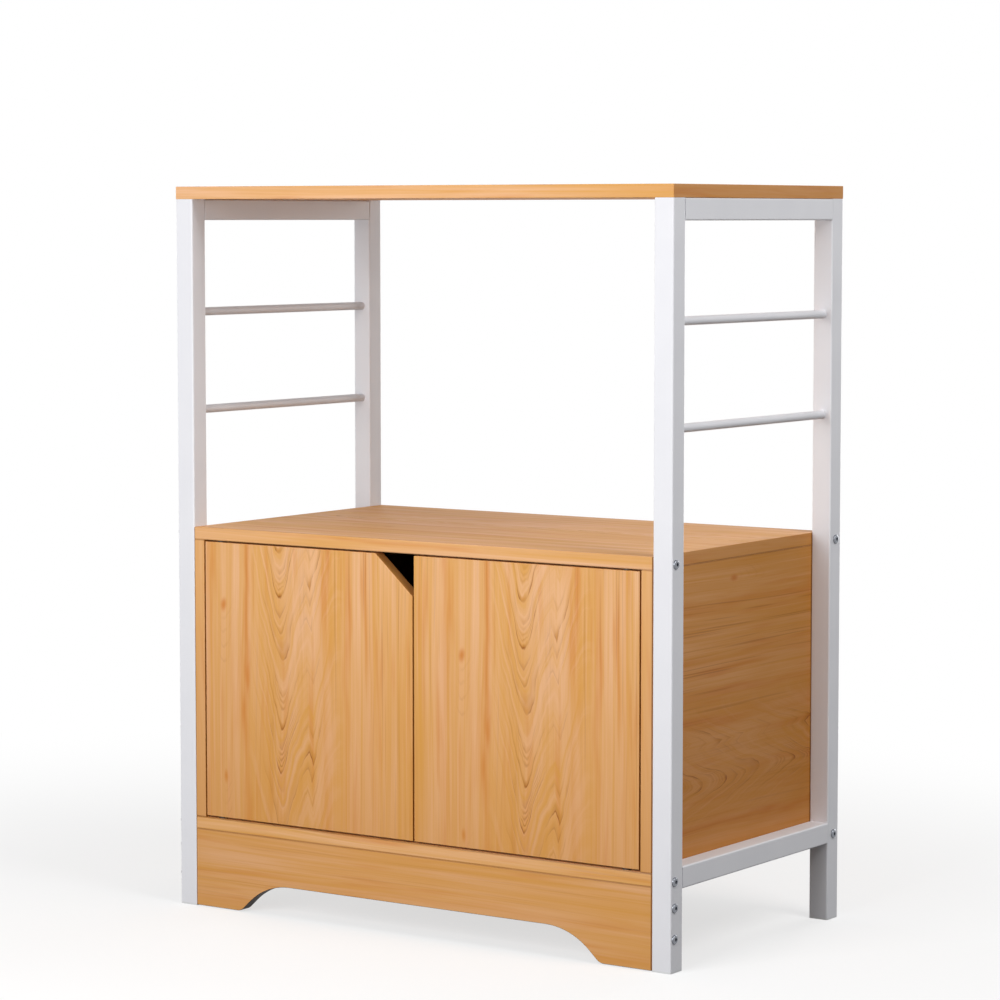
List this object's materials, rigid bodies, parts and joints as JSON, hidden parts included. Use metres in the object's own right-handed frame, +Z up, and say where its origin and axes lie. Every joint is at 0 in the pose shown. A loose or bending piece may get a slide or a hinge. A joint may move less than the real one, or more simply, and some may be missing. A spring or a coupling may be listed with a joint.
{
  "type": "kitchen shelving unit",
  "caption": "Freestanding kitchen shelving unit: white steel side frames with towel bars, an open appliance bay, and a wood-grain cupboard with inset doors over an arched apron.",
  "frame": {"origin": "on the floor, under the middle of the unit's footprint", "axes": "+Z up, +X to the right as one faces the doors, doors face -Y"},
  "size_m": [0.7044, 0.38, 0.87],
  "materials": {
    "board": "wood-grain melamine foil on particle board, satin",
    "hardboard": "plain hardboard",
    "white_frame": "white powder coat on steel tube, satin",
    "white_plastic": "moulded polyethylene, matt",
    "zinc_steel": "bright zinc-plated steel",
    "cast_zinc": "die-cast zinc alloy, plain",
    "beech": "raw beech, fluted dowel",
    "brown_nylon": "moulded dark brown nylon, matt"
  },
  "bodies": {
    "carcass": {"top_board": "board", "middle_shelf": "board", "bottom_board": "board", "left_side_panel": "board", "right_side_panel": "board", "front_apron": "board", "back_panel": "hardboard", "left_front_leg": "white_frame", "left_back_leg": "white_frame", "right_front_leg": "white_frame", "right_back_leg": "white_frame", "left_top_rail": "white_frame", "right_top_rail": "white_frame", "left_bottom_rail": "white_frame", "right_bottom_rail": "white_frame", "left_upper_towel_bar": "white_frame", "left_lower_towel_bar": "white_frame", "right_upper_towel_bar": "white_frame", "right_lower_towel_bar": "white_frame", "left_front_foot_plug": "white_plastic", "left_back_foot_plug": "white_plastic", "right_front_foot_plug": "white_plastic", "right_back_foot_plug": "white_plastic", "shelf_bolts": "zinc_steel", "base_bolts": "zinc_steel", "apron_bolts": "zinc_steel", "shelf_threaded_inserts": "zinc_steel", "base_threaded_inserts": "zinc_steel", "apron_threaded_inserts": "zinc_steel", "top_board_screws": "zinc_steel", "cam_locks": "cast_zinc", "cam_bolts": "zinc_steel", "wood_dowels": "beech", "upper_pivot_bushes": "brown_nylon", "lower_pivot_bushes": "brown_nylon", "catch_cases": "brown_nylon", "catch_magnets": "zinc_steel", "catch_screws": "zinc_steel"},
    "left_door": {"left_door_panel": "board", "left_lower_pivot_pin": "zinc_steel", "left_upper_pivot_pin": "zinc_steel", "left_strike_plate": "zinc_steel", "left_strike_screws": "zinc_steel"},
    "right_door": {"right_door_panel": "board", "right_lower_pivot_pin": "zinc_steel", "right_upper_pivot_pin": "zinc_steel", "right_strike_plate": "zinc_steel", "right_strike_screws": "zinc_steel"}
  },
  "joints": [
    {"name": "left_door_hinge", "type": "hinge", "parent": "carcass", "child": "left_door", "pos_m": [-0.288, -0.1825, 0.1125], "axis": [0, 0, -1], "range_deg": [0, 135]},
    {"name": "right_door_hinge", "type": "hinge", "parent": "carcass", "child": "right_door", "pos_m": [0.288, -0.1825, 0.1125], "axis": [0, 0, 1], "range_deg": [0, 135]}
  ]
}
